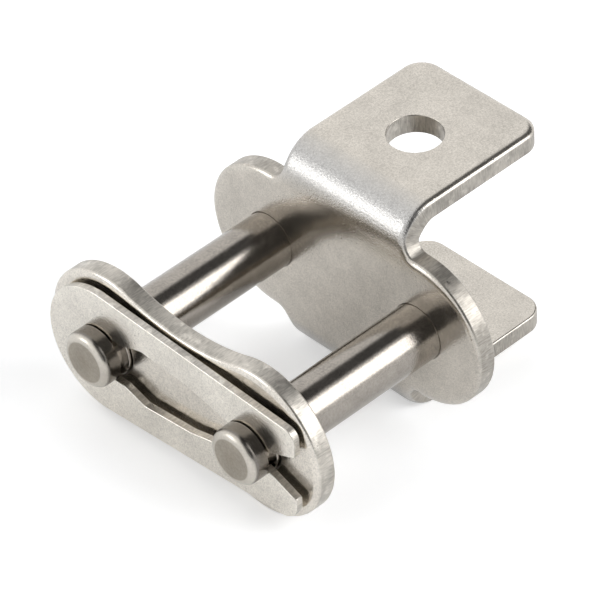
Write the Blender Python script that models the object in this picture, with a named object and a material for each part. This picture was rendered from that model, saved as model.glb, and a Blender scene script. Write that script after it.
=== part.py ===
"""Connecting link of a roller chain whose pin plate carries two bent attachment tabs.

X runs along the chain, Y along the pins with the tabs at +Y, and Z across the tabs.
The origin lies midway between the pins on the inner face of the plate that holds them.
"""
import math

import bmesh
import bpy
from mathutils import Vector

MM = 0.001

# Chain
PITCH = 19.05 * MM
PLATE_GAP = 18.2 * MM

# Both plates are blanked from the same sheet
PLATE_THICKNESS = 2.05 * MM
PLATE_LOBE_RADIUS = 7.8 * MM
PLATE_DIE_ROLL = 0.45 * MM
PLATE_BACK_ROUNDING = 0.2 * MM
PLATE_HOLE_ROUNDING = 0.12 * MM
COVER_WAIST_HALF_HEIGHT = 6.2 * MM

# Tabs of the attachment plate, whose reach is measured from the middle of the chain
TAB_WIDTH = 15.7 * MM
TAB_HEIGHT = 11.9 * MM
TAB_REACH = 27.7 * MM
TAB_CORNER_RADIUS = 2.2 * MM
TAB_ROOT_RADIUS = 1.5 * MM
TAB_HOLE_DIAMETER = 5.4 * MM
TAB_HOLE_REACH = 18.95 * MM
BEND_OUTER_RADIUS = 4.0 * MM
BEND_NEUTRAL_DEPTH = 0.6

# Pins
PIN_DIAMETER = 5.7 * MM
PIN_NOSE_DIAMETER = 4.15 * MM
PIN_NOSE_LENGTH = 0.75 * MM
PIN_HEAD_LENGTH = 1.9 * MM
PIN_GROOVE_DIAMETER = 4.5 * MM
PIN_RIVET_REACH = 1.5 * MM
PIN_RIVET_SPREAD = 0.3 * MM
PIN_RIVET_EDGE = 0.5 * MM
PIN_RIVET_NOSE_DIAMETER = 4.4 * MM

# Fits
PRESS_CLEARANCE = 0.08 * MM
SLIP_CLEARANCE = 0.15 * MM
GROOVE_SIDE_CLEARANCE = 0.12 * MM
CLIP_SEAT_CLEARANCE = 0.1 * MM
CLIP_STAND_OFF = 0.42 * MM

# Spring clip
CLIP_THICKNESS = 0.78 * MM
CLIP_EDGE_ROUNDING = 0.15 * MM
CLIP_NOSE_RADIUS = 6.75 * MM
CLIP_TAIL_REACH = 6.0 * MM
CLIP_TAIL_HALF_HEIGHT = 5.25 * MM
CLIP_TAIL_FLARE = 22.0
CLIP_UPPER_TAIL_ROUNDING = 1.1 * MM
CLIP_LOWER_TAIL_ROUNDING = 2.1 * MM
CLIP_TAIL_INNER_ROUNDING = 0.3 * MM
CLIP_SLOT_WIDENING_START = 2.9 * MM
CLIP_SLOT_WIDEST_PLACE = 5.5 * MM
CLIP_SLOT_HALF_WIDTH = 3.25 * MM
CLIP_SLOT_NARROWING_PLACE = 11.5 * MM
CLIP_SLOT_NARROWING_HALF_WIDTH = 2.76 * MM
CLIP_SLOT_ROUNDING = 1.2 * MM
CLIP_JAW_FRONT_ANGLE = 24.0
CLIP_JAW_BACK_ANGLE = 143.0

# Smoothness of round shapes
ROUND_SEGMENTS = 48
LOBE_STEPS = 14
WAIST_STEPS = 5
CORNER_STEPS = 5
BEND_STEPS = 10
ROUNDING_STEPS = 2

# Places worked out from the sizes above
HALF_PITCH = PITCH / 2
CHAIN_MIDDLE = -PLATE_GAP / 2
COVER_BACK = -PLATE_GAP
COVER_FRONT = COVER_BACK - PLATE_THICKNESS
PIN_RADIUS = PIN_DIAMETER / 2
GROOVE_RADIUS = PIN_GROOVE_DIAMETER / 2
BEND_START = TAB_HEIGHT - BEND_OUTER_RADIUS
BEND_NEUTRAL_RADIUS = BEND_OUTER_RADIUS - BEND_NEUTRAL_DEPTH * PLATE_THICKNESS
BEND_LENGTH = BEND_NEUTRAL_RADIUS * math.pi / 2
CLIP_BACK = COVER_FRONT - CLIP_STAND_OFF
CLIP_FRONT = CLIP_BACK - CLIP_THICKNESS
HEAD_BACK = CLIP_FRONT - GROOVE_SIDE_CLEARANCE
PIN_FRONT = HEAD_BACK - PIN_HEAD_LENGTH


def clear_scene():
    """Removes whatever the open file shows."""
    for thing in list(bpy.data.objects):
        bpy.data.objects.remove(thing, do_unlink=True)


def metal(name, colour, roughness):
    """A bare metal finish."""
    finish = bpy.data.materials.new(name)
    finish.use_nodes = True
    shader = finish.node_tree.nodes["Principled BSDF"]
    shader.inputs["Base Color"].default_value = (*colour, 1.0)
    shader.inputs["Metallic"].default_value = 1.0
    shader.inputs["Roughness"].default_value = roughness
    finish.diffuse_color = (*colour, 1.0)
    return finish


def add_piece(name, bm, finish):
    """Turns a bmesh into a named piece, smooth where it is round."""
    bmesh.ops.recalc_face_normals(bm, faces=bm.faces)
    mesh = bpy.data.meshes.new(name)
    bm.to_mesh(mesh)
    bm.free()
    mesh.materials.append(finish)
    mesh.shade_smooth()
    mesh.set_sharp_from_angle(angle=math.radians(40))
    piece = bpy.data.objects.new(name, mesh)
    bpy.context.scene.collection.objects.link(piece)
    return piece


def arc(centre, radius, first, last, steps):
    """Points along an arc between two angles in degrees, both ends included."""
    turns = [math.radians(first + (last - first) * i / steps) for i in range(steps + 1)]
    return [(centre[0] + radius * math.cos(a), centre[1] + radius * math.sin(a)) for a in turns]


def rounded(before, corner, after, radius):
    """The arc that rounds the corner between two straight runs."""
    corner = Vector(corner)
    back, on = (Vector(before) - corner).normalized(), (Vector(after) - corner).normalized()
    half_angle = back.angle(on) / 2
    centre = corner + (back + on).normalized() * radius / math.sin(half_angle)
    ends = [corner + leg * radius / math.tan(half_angle) - centre for leg in (back, on)]
    first, last = (math.degrees(math.atan2(end.y, end.x)) for end in ends)
    turn = (last - first + 180) % 360 - 180
    return arc(centre, radius, first, first + turn, CORNER_STEPS)


def hole(x, z, radius):
    """A round hole's outline, taken clockwise so that the metal is on its left."""
    return arc((x, z), radius, 360, 0, ROUND_SEGMENTS)[:-1]


def without_repeats(loop):
    """A closed outline with neighbouring equal points taken once."""
    kept = []
    for index, point in enumerate(loop):
        if math.dist(point, loop[index - 1]) > 1e-7:
            kept.append(point)
    return kept


def mirrored_both_ways(quarter):
    """A closed outline from its quarter, which runs from the +X side to the +Z side."""
    upper = quarter + [(-x, z) for x, z in reversed(quarter)]
    return without_repeats(upper + [(x, -z) for x, z in reversed(upper)])


def moved_inwards(loop, distance):
    """The outline moved into the metal, which lies on its left, by the same distance all round."""
    moved = []
    for index, (x, z) in enumerate(loop):
        before, after = loop[index - 1], loop[(index + 1) % len(loop)]
        legs = ((x - before[0], z - before[1]), (after[0] - x, after[1] - z))
        normals = [(-leg[1] / math.hypot(*leg), leg[0] / math.hypot(*leg)) for leg in legs]
        sum_x, sum_z = normals[0][0] + normals[1][0], normals[0][1] + normals[1][1]
        scale = 2 * distance / (sum_x ** 2 + sum_z ** 2)
        moved.append((x + sum_x * scale, z + sum_z * scale))
    return moved


def rim(thickness, front_rounding, back_rounding):
    """Inset and depth of the rings that round a rim, from the sheet's front to its back."""
    bends = [math.radians(90 * i / ROUNDING_STEPS) for i in range(ROUNDING_STEPS + 1)]
    rings = [(front_rounding * (1 - math.sin(a)), front_rounding * (1 - math.cos(a))) for a in bends]
    rings += [(back_rounding * (1 - math.cos(a)), thickness - back_rounding * (1 - math.sin(a))) for a in bends]
    return rings


def sheet(outline, holes, front, thickness, front_rounding, back_rounding):
    """A blanked sheet across Y from its outline and its holes, with rounded rims."""
    bm = bmesh.new()
    rims = ([], [])
    edge_rings = rim(thickness, front_rounding, back_rounding)
    hole_rings = rim(thickness, PLATE_HOLE_ROUNDING, PLATE_HOLE_ROUNDING)
    for loop in [outline, *holes]:
        rings = []
        for inset, depth in edge_rings if loop is outline else hole_rings:
            rings.append([bm.verts.new((x, front + depth, z)) for x, z in moved_inwards(loop, inset)])
        for near, far in zip(rings, rings[1:]):
            for index in range(len(loop)):
                bm.faces.new((near[index - 1], near[index], far[index], far[index - 1]))
        for face_rim, ring in zip(rims, (rings[0], rings[-1])):
            face_rim += [bm.edges.get((ring[index - 1], ring[index])) for index in range(len(ring))]
    for face_rim in rims:
        filled = bmesh.ops.triangle_fill(bm, use_beauty=True, edges=face_rim)
        flat = {item for item in filled["geom"] if isinstance(item, bmesh.types.BMFace)}
        inside = [edge for face in flat for edge in face.edges if all(f in flat for f in edge.link_faces)]
        bmesh.ops.dissolve_limit(bm, angle_limit=math.radians(0.1), edges=list(set(inside)))
    return bm


def cover_outline():
    """A figure of eight: a round lobe about each pin and a shallow waist between them."""
    lobe = PLATE_LOBE_RADIUS
    waist = COVER_WAIST_HALF_HEIGHT
    waist_radius = (HALF_PITCH ** 2 + waist ** 2 - lobe ** 2) / (2 * (lobe - waist))
    waist_centre = (0.0, waist + waist_radius)
    lean = math.degrees(math.atan2(waist_centre[1], -HALF_PITCH))
    quarter = arc((HALF_PITCH, 0.0), lobe, 0, lean, LOBE_STEPS)
    quarter += arc(waist_centre, waist_radius, lean - 180, -90, WAIST_STEPS)
    return mirrored_both_ways(quarter)


def blank_outline():
    """The attachment plate before bending: a lobe about each pin and a tab above and below."""
    side = TAB_WIDTH / 2
    root_x = side + TAB_ROOT_RADIUS
    root_z = math.sqrt((PLATE_LOBE_RADIUS + TAB_ROOT_RADIUS) ** 2 - (root_x - HALF_PITCH) ** 2)
    lean = math.degrees(math.atan2(root_z, root_x - HALF_PITCH))
    corner = (side - TAB_CORNER_RADIUS, flat_reach(TAB_REACH) - TAB_CORNER_RADIUS)
    quarter = arc((HALF_PITCH, 0.0), PLATE_LOBE_RADIUS, 0, lean, LOBE_STEPS)
    quarter += arc((root_x, root_z), TAB_ROOT_RADIUS, lean - 180, -180, CORNER_STEPS)
    quarter += arc(corner, TAB_CORNER_RADIUS, 0, 90, CORNER_STEPS)
    return mirrored_both_ways(quarter)


def flat_reach(reach):
    """Where a place on the bent tab lies on the flat blank, measured from the pins' line."""
    return BEND_START + BEND_LENGTH + CHAIN_MIDDLE + reach - BEND_OUTER_RADIUS


def bent(place):
    """Where a point of the flat blank lies once both tabs are bent away from the chain."""
    x, depth, z = place
    run = abs(z) - BEND_START
    if run <= 0:
        return x, depth, z
    radius = BEND_OUTER_RADIUS - depth
    turn = min(run, BEND_LENGTH) / BEND_NEUTRAL_RADIUS
    straight = max(run - BEND_LENGTH, 0.0)
    y = BEND_OUTER_RADIUS - radius * math.cos(turn) + straight
    return x, y, math.copysign(BEND_START + radius * math.sin(turn), z)


def make_attachment_plate(finish):
    """The plate that carries the pins, blanked flat with its holes and then bent twice."""
    holes = [hole(side * HALF_PITCH, 0.0, PIN_RADIUS + PRESS_CLEARANCE) for side in (-1, 1)]
    holes += [hole(0.0, side * flat_reach(TAB_HOLE_REACH), TAB_HOLE_DIAMETER / 2) for side in (-1, 1)]
    bm = sheet(blank_outline(), holes, 0.0, PLATE_THICKNESS, PLATE_DIE_ROLL, PLATE_BACK_ROUNDING)
    for side in (-1, 1):
        for step in range(BEND_STEPS + 1):
            line = side * (BEND_START + BEND_LENGTH * step / BEND_STEPS)
            parts = bm.verts[:] + bm.edges[:] + bm.faces[:]
            bmesh.ops.bisect_plane(bm, geom=parts, plane_co=(0, 0, line), plane_no=(0, 0, 1))
    for vert in bm.verts:
        vert.co = bent(vert.co)
    return add_piece("attachment_plate", bm, finish)


def make_cover_plate(finish):
    """The loose plate that slips over the pins' ends."""
    holes = [hole(side * HALF_PITCH, 0.0, PIN_RADIUS + SLIP_CLEARANCE) for side in (-1, 1)]
    bm = sheet(cover_outline(), holes, COVER_FRONT, PLATE_THICKNESS, PLATE_DIE_ROLL, PLATE_BACK_ROUNDING)
    return add_piece("cover_plate", bm, finish)


def pin_profile():
    """Radius and Y of a pin's turned outline, from its grooved end to its riveted end."""
    nose = PIN_NOSE_DIAMETER / 2
    groove_back = CLIP_BACK + GROOVE_SIDE_CLEARANCE
    rivet_front = PLATE_THICKNESS + PRESS_CLEARANCE
    rivet_back = PLATE_THICKNESS + PIN_RIVET_REACH
    rivet_edge = rivet_front + PIN_RIVET_EDGE
    rivet_radius = PIN_RADIUS + PIN_RIVET_SPREAD
    rivet_nose = PIN_RIVET_NOSE_DIAMETER / 2
    bends = [math.radians(90 * i / CORNER_STEPS) for i in range(CORNER_STEPS + 1)]
    profile = []
    for a in bends:
        radius = nose + (PIN_RADIUS - nose) * math.sin(a)
        profile.append((radius, PIN_FRONT + PIN_NOSE_LENGTH * (1 - math.cos(a))))
    profile += [(PIN_RADIUS, HEAD_BACK), (GROOVE_RADIUS, HEAD_BACK)]
    profile += [(GROOVE_RADIUS, groove_back), (PIN_RADIUS, groove_back)]
    profile += [(PIN_RADIUS, rivet_front), (rivet_radius, rivet_front)]
    for a in bends:
        radius = rivet_nose + (rivet_radius - rivet_nose) * math.cos(a)
        profile.append((radius, rivet_edge + (rivet_back - rivet_edge) * math.sin(a)))
    return profile


def make_pin(name, x, finish):
    """A turned pin: a rounded nose, the clip's groove, a plain shank and a riveted end."""
    bm = bmesh.new()
    rings = []
    for radius, y in pin_profile():
        rings.append([bm.verts.new((px, y, pz)) for px, pz in hole(x, 0.0, radius)])
    for near, far in zip(rings, rings[1:]):
        for index in range(ROUND_SEGMENTS):
            bm.faces.new((near[index - 1], near[index], far[index], far[index - 1]))
    bm.faces.new(rings[0])
    bm.faces.new(rings[-1])
    return add_piece(name, bm, finish)


def clip_half(tail_rounding):
    """Half the clip, from its round nose over the tail to the jaw and along the slot to its seat."""
    seat = GROOVE_RADIUS + CLIP_SEAT_CLEARANCE
    tail_x = HALF_PITCH + CLIP_TAIL_REACH
    tail_top = (tail_x, CLIP_TAIL_HALF_HEIGHT)
    run, rise = tail_x + HALF_PITCH, CLIP_TAIL_HALF_HEIGHT
    tangent = math.degrees(math.atan2(rise, run) + math.acos(CLIP_NOSE_RADIUS / math.hypot(run, rise)))
    nose = arc((-HALF_PITCH, 0.0), CLIP_NOSE_RADIUS, 180, tangent, LOBE_STEPS)
    jaw = arc((HALF_PITCH, 0.0), seat, CLIP_JAW_FRONT_ANGLE, CLIP_JAW_BACK_ANGLE, LOBE_STEPS)
    flare = math.tan(math.radians(CLIP_TAIL_FLARE))
    tail_low = (tail_x, jaw[0][1] + (tail_x - jaw[0][0]) * flare)
    seat_end = (-HALF_PITCH, seat)
    widening = (CLIP_SLOT_WIDENING_START - HALF_PITCH, seat)
    widest = (CLIP_SLOT_WIDEST_PLACE - HALF_PITCH, CLIP_SLOT_HALF_WIDTH)
    narrowing = (CLIP_SLOT_NARROWING_PLACE - HALF_PITCH, CLIP_SLOT_NARROWING_HALF_WIDTH)
    half = nose
    half += rounded(nose[-1], tail_top, tail_low, tail_rounding)
    half += rounded(tail_top, tail_low, jaw[0], CLIP_TAIL_INNER_ROUNDING)
    half += jaw
    half += rounded(jaw[-1], narrowing, widest, CLIP_SLOT_ROUNDING)
    half += rounded(narrowing, widest, widening, CLIP_SLOT_ROUNDING)
    half += rounded(widest, widening, seat_end, CLIP_SLOT_ROUNDING)
    half += arc((-HALF_PITCH, 0.0), seat, 90, 180, LOBE_STEPS)
    return half


def clip_outline():
    """The whole clip, whose lower tail is cut rounder than the upper one."""
    lower = [(x, -z) for x, z in clip_half(CLIP_LOWER_TAIL_ROUNDING)]
    upper = clip_half(CLIP_UPPER_TAIL_ROUNDING)
    return without_repeats(lower + upper[::-1])


def make_spring_clip(finish):
    """The split clip that snaps into both grooves and holds the cover plate on."""
    bm = sheet(clip_outline(), [], CLIP_FRONT, CLIP_THICKNESS, CLIP_EDGE_ROUNDING, CLIP_EDGE_ROUNDING)
    return add_piece("spring_clip", bm, finish)


def main():
    """Builds the link's five pieces."""
    clear_scene()
    make_attachment_plate(metal("attachment_plate_steel", (0.66, 0.63, 0.58), 0.36))
    make_cover_plate(metal("cover_plate_steel", (0.64, 0.62, 0.57), 0.34))
    make_spring_clip(metal("spring_clip_steel", (0.62, 0.60, 0.55), 0.32))
    make_pin("pin_closed_end", -HALF_PITCH, metal("pin_steel_closed_end", (0.45, 0.42, 0.39), 0.22))
    make_pin("pin_open_end", HALF_PITCH, metal("pin_steel_open_end", (0.45, 0.42, 0.39), 0.22))


main()
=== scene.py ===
"""Looks of a roller chain's connecting link with two bent attachment tabs.

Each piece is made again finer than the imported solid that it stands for, with rolled rims, sheared
walls and turned pins, and all of them get bare metal finishes. Lengths are in metres.
"""
import math

import bmesh
import bpy
from mathutils import Matrix, Vector


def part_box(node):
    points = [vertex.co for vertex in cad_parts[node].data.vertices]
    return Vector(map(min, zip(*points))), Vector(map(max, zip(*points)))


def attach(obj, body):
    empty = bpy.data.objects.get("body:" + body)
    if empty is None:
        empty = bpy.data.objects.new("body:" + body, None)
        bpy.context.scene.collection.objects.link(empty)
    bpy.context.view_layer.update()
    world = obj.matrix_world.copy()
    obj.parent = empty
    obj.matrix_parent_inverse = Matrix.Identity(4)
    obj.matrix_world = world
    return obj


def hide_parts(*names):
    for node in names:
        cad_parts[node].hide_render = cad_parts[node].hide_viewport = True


bl_info = {
    "name": "Attachment Chain Link",
    "version": (1, 0, 0),
    "blender": (4, 5, 0),
    "location": "3D View > Sidebar > Chain Link",
    "description": "Makes a connecting link with bent attachment tabs, turned pins and a spring clip",
    "category": "Add Mesh",
}

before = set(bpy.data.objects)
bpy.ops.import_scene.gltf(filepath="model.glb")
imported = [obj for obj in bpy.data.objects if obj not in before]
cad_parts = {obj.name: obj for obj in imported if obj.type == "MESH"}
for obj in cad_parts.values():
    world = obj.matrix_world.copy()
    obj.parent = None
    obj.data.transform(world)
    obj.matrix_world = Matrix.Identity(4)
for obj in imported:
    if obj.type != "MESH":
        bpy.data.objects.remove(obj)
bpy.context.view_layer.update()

MM = 0.001

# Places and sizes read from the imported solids
TAB_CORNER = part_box("attachment_plate")[1]
COVER_LOW, COVER_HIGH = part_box("cover_plate")
CLIP_LOW, CLIP_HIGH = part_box("spring_clip")
PIN_LOW, PIN_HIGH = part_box("pin_open_end")
HALF_PITCH = (PIN_LOW.x + PIN_HIGH.x) / 2
PLATE_THICKNESS = COVER_HIGH.y - COVER_LOW.y
PLATE_LOBE_RADIUS = COVER_HIGH.z

# How finely round shapes are divided
ROUND_SEGMENTS = 128
LOBE_STEPS = 40
WAIST_STEPS = 16
CORNER_STEPS = 12
ROLL_STEPS = 6
BEND_STEPS = 28

# The rounding of a hole's rim, and how far a rounding's supporting rings stand off
HOLE_ROUNDING = 0.06 * MM
SUPPORT = 0.03 * MM

# How near two points count as one, in metres, and up to how many degrees faces are flat or smooth
SAME_POINT = 1e-7
FLAT_ANGLE = 0.1
SHARP_ANGLE = 40.0

# The photograph's viewpoint
IMAGE_SIZE = 600
VIEW_FOCAL_PIXELS = 5381.7
VIEW_AZIMUTH = 47.333
VIEW_ELEVATION = 40.692
VIEW_ROLL = -2.980
VIEW_DISTANCE = 487.3 * MM
VIEW_AIM = Vector((0.266 * MM, -5.692 * MM, 1.933 * MM))
VIEW_CLIP = (0.01, 10.0)
SENSOR_WIDTH = 36.0


class LinkSizes(bpy.types.PropertyGroup):
    """Sizes that shape the link's pieces."""

    die_roll: bpy.props.FloatProperty(
        name="Die Roll", description="Depth of the rounding of a plate's rim on the punched side",
        default=0.4 * MM, unit="LENGTH")
    roll_width: bpy.props.FloatProperty(
        name="Roll Width", description="How far the die roll reaches in over a plate's face",
        default=0.75 * MM, unit="LENGTH")
    back_rounding: bpy.props.FloatProperty(
        name="Back Rounding", description="Rounding of a plate's rim on the burr side",
        default=0.2 * MM, unit="LENGTH")
    waist: bpy.props.FloatProperty(
        name="Waist", description="Half height of the cover plate between its lobes",
        default=6.2 * MM, unit="LENGTH")
    tab_width: bpy.props.FloatProperty(
        name="Tab Width", description="Width of an attachment tab along the chain",
        default=15.7 * MM, unit="LENGTH")
    tab_corner: bpy.props.FloatProperty(
        name="Tab Corner", description="Rounding of a tab's corners",
        default=2.2 * MM, unit="LENGTH")
    tab_root: bpy.props.FloatProperty(
        name="Tab Root", description="Rounding where a tab's side meets a lobe",
        default=1.5 * MM, unit="LENGTH")
    tab_hole: bpy.props.FloatProperty(
        name="Tab Hole", description="Diameter of the bolt hole in a tab",
        default=5.4 * MM, unit="LENGTH")
    tab_hole_place: bpy.props.FloatProperty(
        name="Tab Hole Place", description="Distance of the bolt hole from the plate's inner face",
        default=9.85 * MM, unit="LENGTH")
    bend_radius: bpy.props.FloatProperty(
        name="Bend Radius", description="Outer radius of the tabs' bends",
        default=4.0 * MM, unit="LENGTH")
    bend_bulge: bpy.props.FloatProperty(
        name="Bend Bulge", description="How far a bend's side walls are pushed out by the bending",
        default=0.16 * MM, unit="LENGTH")
    pin_diameter: bpy.props.FloatProperty(
        name="Pin Diameter", description="Diameter of the pins' plain shank",
        default=5.7 * MM, unit="LENGTH")
    pin_nose: bpy.props.FloatProperty(
        name="Pin Nose", description="Diameter of the flat disc on a pin's front end",
        default=4.15 * MM, unit="LENGTH")
    pin_groove: bpy.props.FloatProperty(
        name="Pin Groove", description="Diameter of the groove that holds the clip",
        default=4.5 * MM, unit="LENGTH")
    clip_nose: bpy.props.FloatProperty(
        name="Clip Nose", description="Radius of the clip's closed end",
        default=6.75 * MM, unit="LENGTH")
    clip_tail: bpy.props.FloatProperty(
        name="Clip Tail", description="Half height of the clip at its open end",
        default=5.25 * MM, unit="LENGTH")
    clip_slot: bpy.props.FloatProperty(
        name="Clip Slot", description="Half width of the clip's slot at its widest",
        default=3.25 * MM, unit="LENGTH")


class LinkColours(bpy.types.PropertyGroup):
    """Colours of the metals and of the floor."""

    plate: bpy.props.FloatVectorProperty(
        name="Plate", description="Colour of the tumbled attachment plate",
        default=(0.61, 0.572, 0.515), subtype="COLOR", min=0.0, max=1.0)
    cover: bpy.props.FloatVectorProperty(
        name="Cover", description="Colour of the tumbled cover plate",
        default=(0.74, 0.698, 0.632), subtype="COLOR", min=0.0, max=1.0)
    clip: bpy.props.FloatVectorProperty(
        name="Clip", description="Colour of the spring clip",
        default=(0.83, 0.785, 0.714), subtype="COLOR", min=0.0, max=1.0)
    pin: bpy.props.FloatVectorProperty(
        name="Pin", description="Colour of the polished pins",
        default=(0.36, 0.331, 0.297), subtype="COLOR", min=0.0, max=1.0)
    # The pin nose's lighter colour is painted sheen on the rounded ring; its satin roughness is the pin's
    # own
    nose: bpy.props.FloatVectorProperty(
        name="Pin Nose", description="Colour of the satin ring round a pin's end",
        default=(0.60, 0.563, 0.503), subtype="COLOR", min=0.0, max=1.0)
    disc: bpy.props.FloatVectorProperty(
        name="Pin End", description="Colour of the matt discs on the pins' ends",
        default=(0.335, 0.302, 0.253), subtype="COLOR", min=0.0, max=1.0)
    floor: bpy.props.FloatVectorProperty(
        name="Floor", description="Colour of the floor",
        default=(0.885, 0.892, 0.902), subtype="COLOR", min=0.0, max=1.0)


# Places of the colours among the sockets of a Mix node
MIX_FIRST_COLOUR = 6
MIX_SECOND_COLOUR = 7
MIX_COLOUR_OUTPUT = 2


class Socket:
    """One output of a node, whose sums and products add Math nodes to its tree."""

    def __init__(self, tree, output):
        self.tree = tree
        self.output = output

    def maths(self, operation, *values):
        return self.tree.node("ShaderNodeMath", {"operation": operation}, dict(enumerate(values)))

    def __add__(self, other):
        return self.maths("ADD", self, other)

    def __sub__(self, other):
        return self.maths("SUBTRACT", self, other)

    def __rsub__(self, other):
        return self.maths("SUBTRACT", other, self)

    def __mul__(self, other):
        return self.maths("MULTIPLY", self, other)

    def __truediv__(self, other):
        return self.maths("DIVIDE", self, other)

    def __pow__(self, other):
        return self.maths("POWER", self, other)

    __radd__ = __add__
    __rmul__ = __mul__

    def ramp(self, low, high):
        """Rises smoothly from 0 at the low value to 1 at the high one."""
        values = {"Value": self, "From Min": low, "From Max": high}
        return self.tree.node("ShaderNodeMapRange", {"interpolation_type": "SMOOTHSTEP"}, values)

    def swing(self, reach):
        """Turns a noise of 0 to 1 into one that swings by half the reach to either side of 0."""
        return (self - 0.5) * reach


class Tree:
    """Adds nodes to a material, a world or a geometry node tree."""

    def __init__(self, tree):
        self.tree = tree

    def node(self, kind, settings=None, values=None, output=0):
        """Adds a node, sets what it does and its sockets, and gives one of its outputs."""
        made = self.tree.nodes.new(kind)
        for name, setting in (settings or {}).items():
            setattr(made, name, setting)
        for name, value in (values or {}).items():
            if isinstance(value, Socket):
                self.tree.links.new(value.output, made.inputs[name])
            else:
                made.inputs[name].default_value = value
        return Socket(self, made.outputs[output]) if made.outputs else None

    def attribute(self, name):
        """A number that the mesh keeps at each of its points."""
        return self.node("ShaderNodeAttribute", {"attribute_name": name}, output="Fac")

    def colour_mix(self, share, first, second):
        """Goes from the first colour to the second as the share goes from 0 to 1."""
        values = {"Factor": share, MIX_FIRST_COLOUR: first, MIX_SECOND_COLOUR: second}
        return self.node("ShaderNodeMix", {"data_type": "RGBA"}, values, output=MIX_COLOUR_OUTPUT)

    def shades(self, share, colour, factors):
        """Goes from the darker to the lighter shade of a colour, which two factors on it give."""
        dark, light = (solid(colour, factor) for factor in factors)
        return self.colour_mix(share, dark, light)

    def noise(self, place, scale, detail, roughness):
        values = {"Vector": place, "Scale": scale, "Detail": detail, "Roughness": roughness}
        return self.node("ShaderNodeTexNoise", {}, values)


def solid(colour, factor=1.0):
    """A colour with its alpha, made darker or lighter by a factor."""
    return (*(min(channel * factor, 1.0) for channel in colour), 1.0)


def new_material(name):
    """An empty material and its tree."""
    finish = bpy.data.materials.new(name)
    finish.use_nodes = True
    finish.node_tree.nodes.clear()
    return finish, Tree(finish.node_tree)


def object_millimetres(tree):
    """Object coordinates counted in millimetres, so that scales are features to the millimetre."""
    place = tree.node("ShaderNodeTexCoord", output="Object")
    return tree.node("ShaderNodeVectorMath", {"operation": "SCALE"}, {"Vector": place, "Scale": 1 / MM})


def metal_output(tree, colour, roughness, height, bump_depth, lean=None):
    """Ends a metal's tree with its shader, from the bump's height and the normal's lean along Z."""
    normal = tree.node("ShaderNodeBump", {}, {"Height": height, "Distance": bump_depth, "Strength": 1.0})
    if lean:
        tilt = tree.node("ShaderNodeCombineXYZ", {}, {2: lean})
        normal = tree.node("ShaderNodeVectorMath", {"operation": "ADD"}, {0: normal, 1: tilt})
        normal = tree.node("ShaderNodeVectorMath", {"operation": "NORMALIZE"}, {0: normal})
    values = {"Base Color": colour, "Roughness": roughness, "Metallic": 1.0, "Normal": normal}
    shader = tree.node("ShaderNodeBsdfPrincipled", {}, values)
    tree.node("ShaderNodeOutputMaterial", {}, {"Surface": shader})


# The faces' lean before the bends, over heights in millimetres from the middle line
LEAN_BEFORE_BEND = 0.12
LEAN_START = 3.6
LEAN_FULL = 7.6
LEAN_END = 8.8


def lean_before_bend(tree, place):
    """How far a pressed sheet's faces lean towards its bends before they start, front and back."""
    y, z = (tree.node("ShaderNodeSeparateXYZ", {}, {0: place}, output=axis) for axis in (1, 2))
    height = z.maths("ABSOLUTE", z)
    share = height.ramp(LEAN_START, LEAN_FULL) * (1 - height.ramp(LEAN_FULL, LEAN_END))
    side = 1 - y * (2 * MM / PLATE_THICKNESS)
    return share * side * z.maths("SIGN", z) * LEAN_BEFORE_BEND


# Noises of the tumbled sheets: features to the millimetre, detail and roughness
CLOUDS = (0.33, 3.0, 0.55)
GRAIN = (7.0, 3.0, 0.6)
FLECK = (3.6, 2.0, 0.5)
SPARKLE = (5.5, 2.0, 0.7)
BURNISH = (0.9, 2.0, 0.5)
STRIATIONS = (1.0, 4.0, 0.65)
STRIATION_RUN = (8.0, 0.9, 1.0)
DENT_SCALE = 1.7
DENT_SMOOTHNESS = 0.6

# Between which values each noise rises from 0 to 1
CLOUD_RISE = (0.25, 0.75)
GRAIN_RISE = (0.32, 0.68)
FLECK_RISE = (0.3, 0.7)
SPARKLE_RISE = (0.34, 0.68)
BURNISH_RISE = (0.56, 0.70)
DENT_RISE = (0.02, 0.22)
SHEARED_RISE = (0.36, 0.62)

# The stretched bends' own colour, and factors on a colour at its darkest and its lightest
STRETCHED_STEEL = (0.47, 0.468, 0.465)
FACE_SHADES = (0.71, 1.22)
STRETCHED_SHADES = (0.84, 1.18)
SHEARED_SHADES = (0.48, 0.86)

# How much each feature counts in the shade of a face and of a sheared wall
CLOUD_IN_SHADE = 0.30
GRAIN_IN_SHADE = 0.50
FLECK_IN_SHADE = 0.20
# The dents' share is painted shade in the dents
PIT_PAINTED_SHADE = 0.12
STRETCH_IN_SHADE = 0.85
BURNISH_IN_WALL = 0.6
STRIATION_IN_WALL = 0.6
CLOUD_IN_WALL = 0.4

# How much each feature counts in the roughness and in the height of the bump
CLOUD_IN_ROUGHNESS = 0.10
GRAIN_IN_ROUGHNESS = 0.12
WALL_IN_ROUGHNESS = 0.20
GRAIN_IN_HEIGHT = 0.35
STRETCHED_GRAIN_IN_HEIGHT = 0.9
FLECK_IN_HEIGHT = 0.25
SPARKLE_IN_HEIGHT = 0.45
PIT_IN_HEIGHT = 0.5
TUMBLED_BUMP = 0.018 * MM


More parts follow.
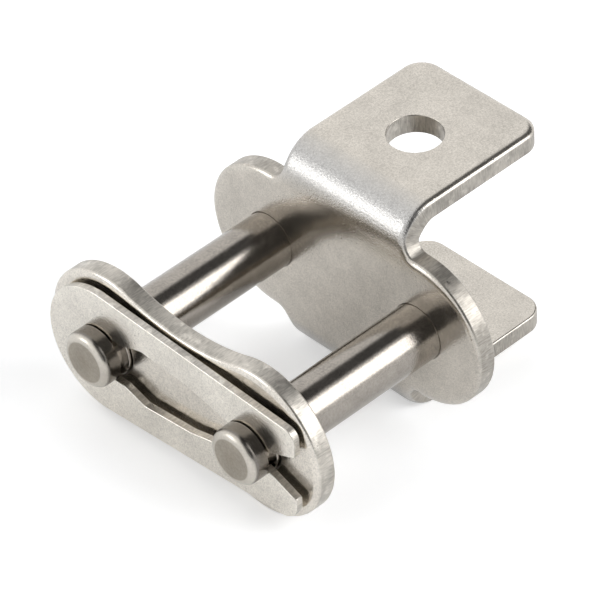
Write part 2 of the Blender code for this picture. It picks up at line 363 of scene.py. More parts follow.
def tumbled_steel(name, colour, base_roughness, seed, bent=False):
    """Blanked sheet that was tumbled: a fine grain, small dents with painted shade in them, rolled rims
    and sheared walls.
    """
    finish, tree = new_material(name)
    wall = tree.attribute("wall")
    place = object_millimetres(tree)
    lean = lean_before_bend(tree, place) * (1 - wall) if bent else None
    shift = (seed, 2 * seed, 3 * seed)
    place = tree.node("ShaderNodeVectorMath", {"operation": "ADD"}, {0: place, 1: shift})
    stretch = tree.attribute("stretch")
    run = tree.node("ShaderNodeUVMap", {"uv_map": "Blank"})
    shear = tree.node("ShaderNodeVectorMath", {"operation": "MULTIPLY"}, {0: run, 1: STRIATION_RUN})
    striations = tree.noise(shear, *STRIATIONS)
    burnish = tree.noise(place, *BURNISH).ramp(*BURNISH_RISE)
    clouds = tree.noise(place, *CLOUDS)
    grain = tree.noise(place, *GRAIN)
    fleck = tree.noise(place, *FLECK)
    dents = tree.node("ShaderNodeTexVoronoi", {"feature": "SMOOTH_F1"},
                      {"Vector": place, "Scale": DENT_SCALE, "Smoothness": DENT_SMOOTHNESS})
    pits = 1 - dents.ramp(*DENT_RISE)
    shade = clouds.ramp(*CLOUD_RISE) * CLOUD_IN_SHADE + grain.ramp(*GRAIN_RISE) * GRAIN_IN_SHADE
    shade = shade + fleck.ramp(*FLECK_RISE) * FLECK_IN_SHADE
    # The dents are darkened: painted shade in them, besides the bump that sinks them
    face = tree.shades(shade - pits * PIT_PAINTED_SHADE, colour, FACE_SHADES)
    sparkle = tree.noise(place, *SPARKLE).ramp(*SPARKLE_RISE)
    drawn = tree.shades(sparkle, STRETCHED_STEEL, STRETCHED_SHADES)
    cool = tree.colour_mix(stretch * STRETCH_IN_SHADE, face, drawn)
    worn = wall * (1 - burnish * BURNISH_IN_WALL)
    torn = (striations * STRIATION_IN_WALL + clouds * CLOUD_IN_WALL).ramp(*SHEARED_RISE)
    sheared = tree.shades(torn, colour, SHEARED_SHADES)
    metal = tree.colour_mix(worn, cool, sheared)
    roughness = base_roughness + clouds.swing(CLOUD_IN_ROUGHNESS) + grain.swing(GRAIN_IN_ROUGHNESS)
    roughness = roughness + worn * WALL_IN_ROUGHNESS
    height = grain * (GRAIN_IN_HEIGHT + stretch * STRETCHED_GRAIN_IN_HEIGHT) + fleck * FLECK_IN_HEIGHT
    height = height + sparkle * stretch * SPARKLE_IN_HEIGHT + striations * worn - pits * PIT_IN_HEIGHT
    metal_output(tree, metal, roughness, height, TUMBLED_BUMP, lean)
    return finish


# Noises of the polished pins, as above, and their rise
GROUND = (1.0, 3.0, 0.6)
GROUND_RUN = (0.6, 9.0, 0.6)
PIN_CLOUDS = (0.5, 3.0, 0.6)
PIN_GRAIN = (4.5, 4.0, 0.7)
PIN_RISE = (0.3, 0.7)

# Where the satin nose and the head before the groove end, in millimetres from the pin's front
NOSE_END = (0.25, 0.55)
HEAD_END = (1.7, 1.9)

# Factors on the pins' colours, and how much each feature counts in the shade
SHANK_SHADES = (0.80, 1.15)
NOSE_SHEEN_SHADES = (0.85, 1.10)
DISC_SHADES = (0.80, 1.20)
# The head's darker colour is painted shade, standing in for the shade and dark reflection where the head
# meets the clip
HEAD_PAINTED_SHADE = 0.25
HEAD_PAINTED_SHADE_SHARE = 0.55
PIN_CLOUD_IN_SHADE = 0.4
PIN_GRAIN_IN_SHADE = 0.6

# The pins' roughness, and how much each feature counts in it and in the height of the bump
PIN_ROUGHNESS = 0.15
PIN_NOISE_IN_ROUGHNESS = 0.10
NOSE_IN_ROUGHNESS = 0.10
HEAD_IN_ROUGHNESS = 0.06
DISC_IN_ROUGHNESS = 0.25
GROUND_IN_HEIGHT = 0.30
PIN_GRAIN_IN_HEIGHT = 0.5
DISC_GRAIN_IN_HEIGHT = 0.8
POLISHED_BUMP = 0.012 * MM


def polished_steel(name, colour, nose_sheen_colour, disc_colour):
    """A ground and polished pin, with a satin nose lightened by painted sheen, a head darkened by painted
    shade where it meets the clip, and a matt disc on its cut end.
    """
    finish, tree = new_material(name)
    place = object_millimetres(tree)
    lines = tree.node("ShaderNodeVectorMath", {"operation": "MULTIPLY"}, {0: place, 1: GROUND_RUN})
    ground = tree.noise(lines, *GROUND)
    clouds = tree.noise(place, *PIN_CLOUDS)
    grain = tree.noise(place, *PIN_GRAIN)
    disc = tree.attribute("disc")
    depth = tree.node("ShaderNodeSeparateXYZ", {}, {0: place}, output=1) - PIN_LOW.y / MM
    nose = 1 - depth.ramp(*NOSE_END)
    head = 1 - depth.ramp(*HEAD_END)
    shade = clouds.ramp(*PIN_RISE) * PIN_CLOUD_IN_SHADE + grain.ramp(*PIN_RISE) * PIN_GRAIN_IN_SHADE
    shank = tree.shades(shade, colour, SHANK_SHADES)
    # Painted shade: the head in front of the groove is darkened towards a quarter of the pin's colour
    shank = tree.colour_mix(head * (1 - nose) * HEAD_PAINTED_SHADE_SHARE, shank, solid(colour, HEAD_PAINTED_SHADE))
    # Painted sheen: the rounded nose gets a lighter colour than the rest of the pin; its added roughness
    # is a real satin finish
    satin = tree.shades(shade, nose_sheen_colour, NOSE_SHEEN_SHADES)
    matt = tree.shades(shade, disc_colour, DISC_SHADES)
    metal = tree.colour_mix(disc, tree.colour_mix(nose, shank, satin), matt)
    roughness = PIN_ROUGHNESS + clouds.swing(PIN_NOISE_IN_ROUGHNESS) + grain.swing(PIN_NOISE_IN_ROUGHNESS)
    roughness = roughness + nose * NOSE_IN_ROUGHNESS + head * HEAD_IN_ROUGHNESS + disc * DISC_IN_ROUGHNESS
    height = ground * GROUND_IN_HEIGHT + grain * (PIN_GRAIN_IN_HEIGHT + disc * DISC_GRAIN_IN_HEIGHT)
    metal_output(tree, metal, roughness, height, POLISHED_BUMP)
    return finish


def arc(centre, radius, first, last, steps):
    """Points along an arc between two angles in degrees, both ends included."""
    turns = [math.radians(first + (last - first) * i / steps) for i in range(steps + 1)]
    return [(centre[0] + radius * math.cos(a), centre[1] + radius * math.sin(a)) for a in turns]


def rounded(before, corner, after, radius):
    """The arc that rounds the corner between two straight runs."""
    corner = Vector(corner)
    back, on = (Vector(before) - corner).normalized(), (Vector(after) - corner).normalized()
    half_angle = back.angle(on) / 2
    centre = corner + (back + on).normalized() * radius / math.sin(half_angle)
    ends = [corner + leg * radius / math.tan(half_angle) - centre for leg in (back, on)]
    first, last = (math.degrees(math.atan2(end.y, end.x)) for end in ends)
    turn = (last - first + 180) % 360 - 180
    return arc(centre, radius, first, first + turn, CORNER_STEPS)


def hole(x, z, radius):
    """A round hole's outline, taken clockwise so that the metal is on its left."""
    return arc((x, z), radius, 360, 0, ROUND_SEGMENTS)[:-1]


def without_repeats(loop):
    """A closed outline with neighbouring equal points taken once."""
    kept = []
    for index, point in enumerate(loop):
        if math.dist(point, loop[index - 1]) > SAME_POINT:
            kept.append(point)
    return kept


def mirrored_both_ways(quarter):
    """A closed outline from its quarter, which runs from the +X side to the +Z side."""
    upper = quarter + [(-x, z) for x, z in reversed(quarter)]
    return without_repeats(upper + [(x, -z) for x, z in reversed(upper)])


def moved_inwards(loop, distance):
    """The outline moved into the metal, which lies on its left, by the same distance all round."""
    moved = []
    for index, (x, z) in enumerate(loop):
        before, after = loop[index - 1], loop[(index + 1) % len(loop)]
        legs = ((x - before[0], z - before[1]), (after[0] - x, after[1] - z))
        normals = [(-leg[1] / math.hypot(*leg), leg[0] / math.hypot(*leg)) for leg in legs]
        sum_x, sum_z = normals[0][0] + normals[1][0], normals[0][1] + normals[1][1]
        scale = 2 * distance / (sum_x ** 2 + sum_z ** 2)
        moved.append((x + sum_x * scale, z + sum_z * scale))
    return moved


# How late in the die roll the sheared wall's look sets in
WALL_ONSET = 4


def rim_layers(thickness, roll_width, roll_depth, back_rounding):
    """Inset, depth and wall share of a rim's rings, from the front face to the back face."""
    bends = [math.radians(90 * i / ROLL_STEPS) for i in range(ROLL_STEPS + 1)]
    layers = [(roll_width + SUPPORT, 0.0, 0.0)]
    for a in bends:
        share = (a / bends[-1]) ** WALL_ONSET
        layers.append((roll_width * (1 - math.sin(a)), roll_depth * (1 - math.cos(a)), share))
    layers.append((0.0, roll_depth + SUPPORT, 1.0))
    layers.append((0.0, thickness - back_rounding - SUPPORT, 1.0))
    for a in bends:
        inset, rise = back_rounding * (1 - math.cos(a)), back_rounding * (1 - math.sin(a))
        layers.append((inset, thickness - rise, 1 - a / bends[-1]))
    layers.append((back_rounding + SUPPORT, thickness, 0.0))
    return layers


def sheet(outline, holes, front, thickness, roll_width, roll_depth, back_rounding):
    """A blanked sheet across Y from its outline and its holes, with rolled rims."""
    bm = bmesh.new()
    wall = bm.verts.layers.float.new("wall")
    run = bm.loops.layers.uv.new("Blank")
    rims = ([], [])
    edge_layers = rim_layers(thickness, roll_width, roll_depth, back_rounding)
    hole_layers = rim_layers(thickness, HOLE_ROUNDING, HOLE_ROUNDING, HOLE_ROUNDING)
    for loop in [outline, *holes]:
        layers = edge_layers if loop is outline else hole_layers
        rings = []
        for inset, depth, share in layers:
            ring = [bm.verts.new((x, front + depth, z)) for x, z in moved_inwards(loop, inset)]
            for vert in ring:
                vert[wall] = share
            rings.append(ring)
        for near, far, near_layer, far_layer in zip(rings, rings[1:], layers, layers[1:]):
            length = 0.0
            for index in range(len(loop)):
                step = math.dist(loop[index - 1], loop[index])
                face = bm.faces.new((near[index - 1], near[index], far[index], far[index - 1]))
                corners = ((length, near_layer), (length + step, near_layer),
                           (length + step, far_layer), (length, far_layer))
                for corner, (along, layer) in zip(face.loops, corners):
                    corner[run].uv = (along / MM, layer[1] / MM)
                length += step
        for rim, ring in zip(rims, (rings[0], rings[-1])):
            rim += [bm.edges.get((ring[index - 1], ring[index])) for index in range(len(ring))]
    for rim in rims:
        filled = bmesh.ops.triangle_fill(bm, use_beauty=True, edges=rim)
        flat = [item for item in filled["geom"] if isinstance(item, bmesh.types.BMFace)]
        for face in flat:
            for corner in face.loops:
                corner[run].uv = (corner.vert.co.x / MM, corner.vert.co.z / MM)
        seams = [item for item in filled["geom"] if isinstance(item, bmesh.types.BMEdge)]
        inside = [seam for seam in seams if all(face in flat for face in seam.link_faces)]
        bmesh.ops.dissolve_limit(bm, angle_limit=math.radians(FLAT_ANGLE), edges=inside)
    return bm


def mesh_from(name, bm):
    """Turns a bmesh into a smooth object of the scene."""
    bmesh.ops.recalc_face_normals(bm, faces=bm.faces)
    mesh = bpy.data.meshes.new(name)
    bm.to_mesh(mesh)
    bm.free()
    mesh.shade_smooth()
    mesh.set_sharp_from_angle(angle=math.radians(SHARP_ANGLE))
    piece = bpy.data.objects.new(name, mesh)
    bpy.context.scene.collection.objects.link(piece)
    return piece


def finish_piece(piece, node, finish):
    """Gives a piece its finish, hides the solid that it stands for, and parents it to what it rides on.
    """
    piece.data.materials.clear()
    piece.data.materials.append(finish)
    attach(piece, "root")
    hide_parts(node)


def run_tree(piece, group, values):
    """Runs a geometry tree on a piece and gives it the plain mesh that comes out."""
    modifier = piece.modifiers.new(group.name, "NODES")
    modifier.node_group = group
    for item in group.interface.items_tree:
        if item.item_type == "SOCKET" and item.in_out == "INPUT" and item.name in values:
            modifier[item.identifier] = values[item.name]
    evaluated = piece.evaluated_get(bpy.context.evaluated_depsgraph_get())
    made = bpy.data.meshes.new_from_object(evaluated)
    piece.modifiers.remove(modifier)
    piece.data = made


def new_geometry_tree(name, inputs):
    """A geometry tree with a mesh input, one named input for each size, and a mesh output."""
    group = bpy.data.node_groups.new(name, "GeometryNodeTree")
    group.interface.new_socket("Geometry", in_out="INPUT", socket_type="NodeSocketGeometry")
    for title, kind in inputs.items():
        group.interface.new_socket(title, in_out="INPUT", socket_type=kind)
    group.interface.new_socket("Geometry", in_out="OUTPUT", socket_type="NodeSocketGeometry")
    tree = Tree(group)
    given = group.nodes.new("NodeGroupInput")
    return group, tree, {title: Socket(tree, given.outputs[title]) for title in ["Geometry", *inputs]}


def end_geometry_tree(tree, shape, finish):
    """Ends a geometry tree with plain geometry in its material."""
    plain = tree.node("GeometryNodeRealizeInstances", {}, {"Geometry": shape})
    dressed = tree.node("GeometryNodeSetMaterial", {}, {"Geometry": plain, "Material": finish})
    tree.node("NodeGroupOutput", {}, {"Geometry": dressed})


# How near the side walls a bend's bulge sets in
BULGE_ONSET = 6.0


def bending_tree():
    """Bends the ends of a flat blank, which lies across Y, towards +Y at both its bend lines."""
    inputs = {"Bend Start": "NodeSocketFloat", "Outer Radius": "NodeSocketFloat",
              "Neutral Radius": "NodeSocketFloat", "Thickness": "NodeSocketFloat",
              "Half Width": "NodeSocketFloat", "Bulge": "NodeSocketFloat",
              "Material": "NodeSocketMaterial"}
    group, tree, given = new_geometry_tree("Bend Tabs", inputs)
    place = tree.node("GeometryNodeInputPosition")
    x, depth, z = (tree.node("ShaderNodeSeparateXYZ", {}, {0: place}, output=axis) for axis in range(3))
    height = z.maths("ABSOLUTE", z)
    run = height - given["Bend Start"]
    full_turn = math.pi / 2
    turn = run / given["Neutral Radius"]
    turn = turn.maths("MAXIMUM", turn, 0.0)
    turn = turn.maths("MINIMUM", turn, full_turn)
    straight = run - given["Neutral Radius"] * full_turn
    straight = straight.maths("MAXIMUM", straight, 0.0)
    radius = given["Outer Radius"] - depth
    new_y = given["Outer Radius"] - radius * turn.maths("COSINE", turn) + straight
    upright = height.maths("MINIMUM", height, given["Bend Start"])
    new_height = upright + radius * turn.maths("SINE", turn)
    new_z = new_height * z.maths("SIGN", z)
    worked = turn.maths("SINE", turn * 2)
    edge = x.maths("ABSOLUTE", x / given["Half Width"]) ** BULGE_ONSET
    push = (depth / given["Thickness"] - 0.5) * 2 * worked * given["Bulge"]
    new_x = x + x.maths("SIGN", x) * push * edge.maths("MINIMUM", edge, 1.0)
    moved = tree.node("ShaderNodeCombineXYZ", {}, {0: new_x, 1: new_y, 2: new_z})
    marked = tree.node("GeometryNodeStoreNamedAttribute", {"data_type": "FLOAT", "domain": "POINT"},
                       {"Geometry": given["Geometry"], "Name": "stretch", "Value": worked})
    bent = tree.node("GeometryNodeSetPosition", {}, {"Geometry": marked, "Position": moved})
    end_geometry_tree(tree, bent, given["Material"])
    return group


# The circle that a pin's profile follows, the merging of its poles, and the disc on its front end
GUIDE_RADIUS = 1.0
PIN_MERGE_DISTANCE = 0.001 * MM
DISC_EDGE = (0.97, 1.03)
DISC_DEPTH = 0.05 * MM


def turning_tree():
    """Turns a profile, drawn with its radius along X and its length along Y, about the Y axis."""
    inputs = {"Place Along Chain": "NodeSocketFloat", "Segments": "NodeSocketInt",
              "Disc Radius": "NodeSocketFloat", "Material": "NodeSocketMaterial"}
    group, tree, given = new_geometry_tree("Turn Pin", inputs)
    profile = tree.node("GeometryNodeMeshToCurve", {}, {"Mesh": given["Geometry"]})
    circle = tree.node("GeometryNodeCurvePrimitiveCircle", {},
                       {"Resolution": given["Segments"], "Radius": GUIDE_RADIUS})
    shifted = tree.node("GeometryNodeTransform", {},
                        {"Geometry": profile, "Translation": (-GUIDE_RADIUS, 0.0, 0.0)})
    turned = tree.node("GeometryNodeCurveToMesh", {},
                       {"Curve": circle, "Profile Curve": shifted})
    laid = tree.node("GeometryNodeTransform", {},
                     {"Geometry": turned, "Rotation": (math.radians(90), 0.0, 0.0)})
    closed = tree.node("GeometryNodeMergeByDistance", {},
                       {"Geometry": laid, "Distance": PIN_MERGE_DISTANCE})
    place = tree.node("GeometryNodeInputPosition")
    x, y, z = (tree.node("ShaderNodeSeparateXYZ", {}, {0: place}, output=axis) for axis in range(3))
    squares = x * x + z * z
    reach = squares.maths("SQRT", squares)
    disc = 1 - (reach / given["Disc Radius"]).ramp(*DISC_EDGE)
    front = disc.maths("LESS_THAN", y, PIN_LOW.y + DISC_DEPTH)
    marked = tree.node("GeometryNodeStoreNamedAttribute", {"data_type": "FLOAT", "domain": "POINT"},
                       {"Geometry": closed, "Name": "disc", "Value": disc * front})
    offset = tree.node("ShaderNodeCombineXYZ", {}, {0: given["Place Along Chain"]})
    placed = tree.node("GeometryNodeTransform", {}, {"Geometry": marked, "Translation": offset})
    end_geometry_tree(tree, placed, given["Material"])
    return group


def cover_outline(sizes):
    """A figure of eight: a round lobe about each pin and a shallow waist between them."""
    lobe, waist = PLATE_LOBE_RADIUS, sizes.waist
    waist_radius = (HALF_PITCH ** 2 + waist ** 2 - lobe ** 2) / (2 * (lobe - waist))
    waist_centre = (0.0, waist + waist_radius)
    lean = math.degrees(math.atan2(waist_centre[1], -HALF_PITCH))
    quarter = arc((HALF_PITCH, 0.0), lobe, 0, lean, LOBE_STEPS)
    quarter += arc(waist_centre, waist_radius, lean - 180, -90, WAIST_STEPS)
    return mirrored_both_ways(quarter)


BEND_NEUTRAL_DEPTH = 0.6
PRESS_CLEARANCE = 0.03 * MM
SLIP_CLEARANCE = 0.15 * MM
PLATE_ROUGHNESS = 0.20
ATTACHMENT_PLATE_SEED = 3.0
COVER_PLATE_SEED = 11.0


class CHAINLINK_OT_attachment_plate(bpy.types.Operator):
    """Makes the plate that carries the pins, with its two bent tabs"""

    bl_idname = "chainlink.attachment_plate"
    bl_label = "Attachment Plate"

    def execute(self, context):
        sizes, colours = context.scene.link_sizes, context.scene.link_colours
        bend_start = TAB_CORNER.z - sizes.bend_radius
        neutral_radius = sizes.bend_radius - BEND_NEUTRAL_DEPTH * PLATE_THICKNESS
        bend_length = neutral_radius * math.pi / 2

        def flat(reach):
            """Where a place on the bent tab lies on the flat blank."""
            return bend_start + bend_length + reach - sizes.bend_radius

        side = sizes.tab_width / 2
        root_x = side + sizes.tab_root
        root_z = math.sqrt((PLATE_LOBE_RADIUS + sizes.tab_root) ** 2 - (root_x - HALF_PITCH) ** 2)
        lean = math.degrees(math.atan2(root_z, root_x - HALF_PITCH))
        corner = (side - sizes.tab_corner, flat(TAB_CORNER.y) - sizes.tab_corner)
        quarter = arc((HALF_PITCH, 0.0), PLATE_LOBE_RADIUS, 0, lean, LOBE_STEPS)
        quarter += arc((root_x, root_z), sizes.tab_root, lean - 180, -180, CORNER_STEPS)
        quarter += arc(corner, sizes.tab_corner, 0, 90, CORNER_STEPS)
        outline = mirrored_both_ways(quarter)
        pin_hole = sizes.pin_diameter / 2 + PRESS_CLEARANCE
        holes = [hole(way * HALF_PITCH, 0.0, pin_hole) for way in (-1, 1)]
        holes += [hole(0.0, way * flat(sizes.tab_hole_place), sizes.tab_hole / 2) for way in (-1, 1)]
        bm = sheet(outline, holes, 0.0, PLATE_THICKNESS,
                   sizes.roll_width, sizes.die_roll, sizes.back_rounding)
        for way in (-1, 1):
            for step in range(BEND_STEPS + 1):
                line = way * (bend_start + bend_length * step / BEND_STEPS)
                parts = bm.verts[:] + bm.edges[:] + bm.faces[:]
                bmesh.ops.bisect_plane(bm, geom=parts, plane_co=(0, 0, line), plane_no=(0, 0, 1))
        finish = tumbled_steel("tumbled_attachment_plate", colours.plate, PLATE_ROUGHNESS,
                               ATTACHMENT_PLATE_SEED, bent=True)
        piece = mesh_from("formed_attachment_plate", bm)
        run_tree(piece, bending_tree(), {
            "Bend Start": bend_start, "Outer Radius": sizes.bend_radius,
            "Neutral Radius": neutral_radius, "Thickness": PLATE_THICKNESS,
            "Half Width": side, "Bulge": sizes.bend_bulge, "Material": finish})
        finish_piece(piece, "attachment_plate", finish)
        return {"FINISHED"}


class CHAINLINK_OT_cover_plate(bpy.types.Operator):
    """Makes the loose plate that slips over the pins"""

    bl_idname = "chainlink.cover_plate"
    bl_label = "Cover Plate"

    def execute(self, context):
        sizes, colours = context.scene.link_sizes, context.scene.link_colours
        pin_hole = sizes.pin_diameter / 2 + SLIP_CLEARANCE
        holes = [hole(way * HALF_PITCH, 0.0, pin_hole) for way in (-1, 1)]
        bm = sheet(cover_outline(sizes), holes, COVER_LOW.y, PLATE_THICKNESS,
                   sizes.roll_width, sizes.die_roll, sizes.back_rounding)
        finish = tumbled_steel("tumbled_cover_plate", colours.cover, PLATE_ROUGHNESS, COVER_PLATE_SEED)
        finish_piece(mesh_from("punched_cover_plate", bm), "cover_plate", finish)
        return {"FINISHED"}


CLIP_SEAT_CLEARANCE = 0.1 * MM
CLIP_EDGE_ROUNDING = 0.08 * MM
CLIP_TAIL_FLARE = 22.0
CLIP_UPPER_TAIL_ROUNDING = 1.1 * MM
CLIP_LOWER_TAIL_ROUNDING = 2.1 * MM
CLIP_TAIL_INNER_ROUNDING = 0.3 * MM
CLIP_SLOT_WIDENING_START = 2.9 * MM
CLIP_SLOT_WIDEST_PLACE = 5.5 * MM
CLIP_SLOT_NARROWING_PLACE = 11.5 * MM
CLIP_SLOT_NARROWING_HALF_WIDTH = 2.76 * MM
CLIP_SLOT_ROUNDING = 1.2 * MM
CLIP_JAW_FRONT_ANGLE = 24.0
CLIP_JAW_BACK_ANGLE = 143.0
CLIP_ROUGHNESS = 0.19
CLIP_SEED = 23.0


def clip_half(sizes, tail_rounding):
    """Half the clip, from its round nose over the tail to the jaw and along the slot to its seat."""
    seat = sizes.pin_groove / 2 + CLIP_SEAT_CLEARANCE
    tail_x = CLIP_HIGH.x
    tail_top = (tail_x, sizes.clip_tail)
    run, rise = tail_x + HALF_PITCH, sizes.clip_tail
    tangent = math.degrees(math.atan2(rise, run) + math.acos(sizes.clip_nose / math.hypot(run, rise)))
    nose = arc((-HALF_PITCH, 0.0), sizes.clip_nose, 180, tangent, LOBE_STEPS)
    jaw = arc((HALF_PITCH, 0.0), seat, CLIP_JAW_FRONT_ANGLE, CLIP_JAW_BACK_ANGLE, LOBE_STEPS)
    flare = math.tan(math.radians(CLIP_TAIL_FLARE))
    tail_low = (tail_x, jaw[0][1] + (tail_x - jaw[0][0]) * flare)
    seat_end = (-HALF_PITCH, seat)
    widening = (CLIP_SLOT_WIDENING_START - HALF_PITCH, seat)
    widest = (CLIP_SLOT_WIDEST_PLACE - HALF_PITCH, sizes.clip_slot)
    narrowing = (CLIP_SLOT_NARROWING_PLACE - HALF_PITCH, CLIP_SLOT_NARROWING_HALF_WIDTH)
    half = nose
    half += rounded(nose[-1], tail_top, tail_low, tail_rounding)
    half += rounded(tail_top, tail_low, jaw[0], CLIP_TAIL_INNER_ROUNDING)
    half += jaw
    half += rounded(jaw[-1], narrowing, widest, CLIP_SLOT_ROUNDING)
    half += rounded(narrowing, widest, widening, CLIP_SLOT_ROUNDING)
    half += rounded(widest, widening, seat_end, CLIP_SLOT_ROUNDING)
    half += arc((-HALF_PITCH, 0.0), seat, 90, 180, LOBE_STEPS)
    return half


class CHAINLINK_OT_spring_clip(bpy.types.Operator):
    """Makes the split clip that snaps into the pins' grooves"""

    bl_idname = "chainlink.spring_clip"
    bl_label = "Spring Clip"

    def execute(self, context):
        sizes, colours = context.scene.link_sizes, context.scene.link_colours
        lower = [(x, -z) for x, z in clip_half(sizes, CLIP_LOWER_TAIL_ROUNDING)]
        upper = clip_half(sizes, CLIP_UPPER_TAIL_ROUNDING)
        outline = without_repeats(lower + upper[::-1])
        thickness = CLIP_HIGH.y - CLIP_LOW.y
        bm = sheet(outline, [], CLIP_LOW.y, thickness,
                   CLIP_EDGE_ROUNDING, CLIP_EDGE_ROUNDING, CLIP_EDGE_ROUNDING)
        finish = tumbled_steel("sprung_clip_steel", colours.clip, CLIP_ROUGHNESS, CLIP_SEED)
        finish_piece(mesh_from("split_spring_clip", bm), "spring_clip", finish)
        return {"FINISHED"}


PIN_NOSE_LENGTH = 0.75 * MM
RIVET_CLEARANCE = 0.08 * MM
PIN_RIVET_SPREAD = 0.3 * MM
PIN_RIVET_EDGE = 0.5 * MM
PIN_RIVET_NOSE_DIAMETER = 4.4 * MM
GROOVE_SIDE_CLEARANCE = 0.12 * MM
GROOVE_EDGE = 0.06 * MM


def pin_profile(sizes):
    """Radius and Y of a pin's turned outline, from the middle of one end to that of the other."""
    nose, shank = sizes.pin_nose / 2, sizes.pin_diameter / 2
    groove = sizes.pin_groove / 2
    head_back = CLIP_LOW.y - GROOVE_SIDE_CLEARANCE
    groove_back = CLIP_HIGH.y + GROOVE_SIDE_CLEARANCE
    rivet_front = PLATE_THICKNESS + RIVET_CLEARANCE
    rivet_edge = rivet_front + PIN_RIVET_EDGE
    rivet_radius = shank + PIN_RIVET_SPREAD
    rivet_nose = PIN_RIVET_NOSE_DIAMETER / 2
    bends = [math.radians(90 * i / CORNER_STEPS) for i in range(CORNER_STEPS + 1)]
    profile = [(0.0, PIN_LOW.y), (nose - SUPPORT, PIN_LOW.y)]
    for a in bends:
        radius = nose + (shank - nose) * math.sin(a)
        profile.append((radius, PIN_LOW.y + PIN_NOSE_LENGTH * (1 - math.cos(a))))
    profile += [(shank, head_back - GROOVE_EDGE), (shank - GROOVE_EDGE, head_back)]
    profile += [(groove, head_back), (groove, groove_back)]
    profile += [(shank - GROOVE_EDGE, groove_back), (shank, groove_back + GROOVE_EDGE)]
    profile += [(shank, rivet_front), (rivet_radius, rivet_front)]
    for a in bends:
        radius = rivet_nose + (rivet_radius - rivet_nose) * math.cos(a)
        profile.append((radius, rivet_edge + (PIN_HIGH.y - rivet_edge) * math.sin(a)))
    profile += [(rivet_nose - SUPPORT, PIN_HIGH.y), (0.0, PIN_HIGH.y)]
    return profile


class CHAINLINK_OT_pins(bpy.types.Operator):
    """Makes both turned pins from one profile"""

    bl_idname = "chainlink.pins"
    bl_label = "Pins"

    def execute(self, context):
        sizes, colours = context.scene.link_sizes, context.scene.link_colours
        profile = pin_profile(sizes)
        group = turning_tree()
        finish = polished_steel("polished_pin", colours.pin, colours.nose, colours.disc)
        for way, node in ((-1, "pin_closed_end"), (1, "pin_open_end")):
            bm = bmesh.new()
            verts = [bm.verts.new((radius, y, 0.0)) for radius, y in profile]
            for first, second in zip(verts, verts[1:]):
                bm.edges.new((first, second))
            piece = mesh_from("turned_" + node, bm)
            run_tree(piece, group, {"Place Along Chain": way * HALF_PITCH, "Segments": ROUND_SEGMENTS,
                                    "Disc Radius": sizes.pin_nose / 2, "Material": finish})
            piece.data.shade_smooth()
            piece.data.set_sharp_from_angle(angle=math.radians(SHARP_ANGLE))
            finish_piece(piece, node, finish)
        return {"FINISHED"}


FLOOR_HALF_WIDTH = 0.6
FLOOR_GLOW = 0.41
FLOOR_GLOW_IN_METAL = 0.24
TENT = 1.36

# The tent's dark opening, by the world's directions
OPENING_LEAN = 0.33
OPENING_PLACE = 0.17
OPENING_DEPTH = 1.22
OPENING_SIDES = (0.22, 0.42)
OPENING_FOOT = (0.30, 0.50)
OPENING_NEAR_END = (-0.85, -0.60)

# Directions of the dark side and the lamps, and the cosines of their outer and inner edges
DARK_SIDE = (0.74, -0.52, 0.43)
DARK_SIDE_EDGES = (0.83, 0.92)
LEFT_LIGHT = (-0.565, -0.77, 0.295)
LEFT_LIGHT_EDGES = (0.962, 0.990)
LEFT_LIGHT_STRENGTH = 2.9
RIGHT_LIGHT = (0.69, 0.514, 0.51)
RIGHT_LIGHT_EDGES = (0.92, 0.96)
RIGHT_LIGHT_STRENGTH = 3.4


def white_floor(colours):
    """A pale floor that keeps the object's shadow and is near white to the eye and in the metal."""
    finish, tree = new_material("pale_floor")
    rays = ("Is Camera Ray", "Is Glossy Ray")
    seen, mirrored = (tree.node("ShaderNodeLightPath", output=ray) for ray in rays)
    matt = tree.node("ShaderNodeBsdfDiffuse", {}, {"Color": solid(colours.floor)})
    strength = seen * FLOOR_GLOW + mirrored * FLOOR_GLOW_IN_METAL
    glow = tree.node("ShaderNodeEmission", {}, {"Strength": strength})
    both = tree.node("ShaderNodeAddShader", {}, {0: matt, 1: glow})
    tree.node("ShaderNodeOutputMaterial", {}, {"Surface": both})
    return finish


def studio_light():
    """A pale tent with a dark opening from the camera over the top, and a lamp on either side."""
    world = bpy.data.worlds.new("studio")
    world.use_nodes = True
    world.node_tree.nodes.clear()
    tree = Tree(world.node_tree)
    way = tree.node("ShaderNodeTexCoord", output="Generated")

    def patch(aim, edges):
        """A soft patch around a direction, by the cosines of its outer and inner edges."""
        middle = Vector(aim).normalized()
        near = tree.node("ShaderNodeVectorMath", {"operation": "DOT_PRODUCT"},
                         {0: way, 1: middle}, output="Value")
        return near.ramp(*edges)

    x, y, height = (tree.node("ShaderNodeSeparateXYZ", {}, {0: way}, output=axis) for axis in range(3))
    across = x + y * OPENING_LEAN - OPENING_PLACE
    opening = 1 - across.maths("ABSOLUTE", across).ramp(*OPENING_SIDES)
    opening = opening * height.ramp(*OPENING_FOOT) * y.ramp(*OPENING_NEAR_END)
    dark = opening.maths("MAXIMUM", opening, patch(DARK_SIDE, DARK_SIDE_EDGES))
    light = TENT - dark * OPENING_DEPTH
    light = light + patch(LEFT_LIGHT, LEFT_LIGHT_EDGES) * LEFT_LIGHT_STRENGTH
    light = light + patch(RIGHT_LIGHT, RIGHT_LIGHT_EDGES) * RIGHT_LIGHT_STRENGTH
    shown = tree.node("ShaderNodeLightPath", output="Is Camera Ray")
    strength = light + (1 - light) * shown
    sky = tree.node("ShaderNodeBackground", {}, {"Strength": strength})
    tree.node("ShaderNodeOutputWorld", {}, {"Surface": sky})
    bpy.context.scene.world = world


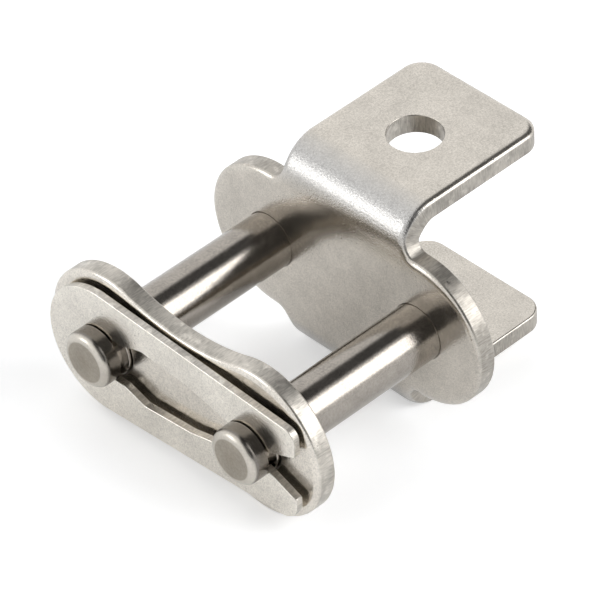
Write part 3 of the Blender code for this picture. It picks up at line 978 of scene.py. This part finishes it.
def photograph_camera():
    """The camera of the photograph, turned a little about its own axis."""
    azimuth, elevation = math.radians(VIEW_AZIMUTH), math.radians(VIEW_ELEVATION)
    back = Vector((math.sin(azimuth) * math.cos(elevation),
                   -math.cos(azimuth) * math.cos(elevation), math.sin(elevation)))
    turn = Matrix.Rotation(math.radians(VIEW_ROLL), 4, "Z")
    data = bpy.data.cameras.new("photograph")
    data.sensor_width = SENSOR_WIDTH
    data.lens = VIEW_FOCAL_PIXELS / IMAGE_SIZE * data.sensor_width
    data.clip_start, data.clip_end = VIEW_CLIP
    camera = bpy.data.objects.new("photograph", data)
    bpy.context.scene.collection.objects.link(camera)
    facing = (-back).to_track_quat("-Z", "Y").to_matrix().to_4x4()
    camera.matrix_world = Matrix.Translation(VIEW_AIM + back * VIEW_DISTANCE) @ facing @ turn
    bpy.context.scene.camera = camera


def resting_floor():
    """Height at the origin and slope of the floor that the cover's lobes and the bend rest on."""
    lobe, bend = PLATE_LOBE_RADIUS, bpy.context.scene.link_sizes.bend_radius
    roll = bpy.context.scene.link_sizes.die_roll
    front = Vector((COVER_LOW.y + roll, -lobe + roll))
    back = Vector((bend, -TAB_CORNER.z + bend))
    span = back - front
    slope = math.atan2(-span.y, span.x) + math.asin((bend - roll) / span.length)
    normal = Vector((math.sin(slope), math.cos(slope)))
    height = front - normal * roll
    return (height.x * normal.x + height.y * normal.y) / normal.y, slope


class CHAINLINK_OT_stage(bpy.types.Operator):
    """Makes the floor, the light and the camera"""

    bl_idname = "chainlink.stage"
    bl_label = "Stage"

    def execute(self, context):
        height, slope = resting_floor()
        bm = bmesh.new()
        corners = [(-1, -1), (1, -1), (1, 1), (-1, 1)]
        reach, fall = FLOOR_HALF_WIDTH, math.tan(slope)
        verts = [bm.verts.new((x * reach, y * reach, height - y * reach * fall)) for x, y in corners]
        bm.faces.new(verts)
        mesh = bpy.data.meshes.new("floor")
        bm.to_mesh(mesh)
        bm.free()
        floor = bpy.data.objects.new("floor", mesh)
        context.scene.collection.objects.link(floor)
        mesh.materials.append(white_floor(context.scene.link_colours))
        studio_light()
        photograph_camera()
        context.scene.view_settings.view_transform = "Standard"
        return {"FINISHED"}


class CHAINLINK_PT_pieces(bpy.types.Panel):
    """Lists the link's pieces and the sizes that shape them"""

    bl_idname = "CHAINLINK_PT_pieces"
    bl_label = "Chain Link"
    bl_space_type = "VIEW_3D"
    bl_region_type = "UI"
    bl_category = "Chain Link"

    def draw(self, context):
        for operator in OPERATORS:
            self.layout.operator(operator.bl_idname)
        for group in (context.scene.link_sizes, context.scene.link_colours):
            for name in group.__annotations__:
                self.layout.prop(group, name)


OPERATORS = (CHAINLINK_OT_attachment_plate, CHAINLINK_OT_cover_plate, CHAINLINK_OT_spring_clip,
             CHAINLINK_OT_pins, CHAINLINK_OT_stage)
CLASSES = (LinkSizes, LinkColours, *OPERATORS, CHAINLINK_PT_pieces)


def register():
    for each in CLASSES:
        bpy.utils.register_class(each)
    bpy.types.Scene.link_sizes = bpy.props.PointerProperty(type=LinkSizes)
    bpy.types.Scene.link_colours = bpy.props.PointerProperty(type=LinkColours)


def unregister():
    del bpy.types.Scene.link_sizes
    del bpy.types.Scene.link_colours
    for each in reversed(CLASSES):
        bpy.utils.unregister_class(each)


def main():
    """Makes the whole scene."""
    register()
    bpy.ops.chainlink.attachment_plate()
    bpy.ops.chainlink.cover_plate()
    bpy.ops.chainlink.spring_clip()
    bpy.ops.chainlink.pins()
    bpy.ops.chainlink.stage()


if __name__ == "__main__":
    main()
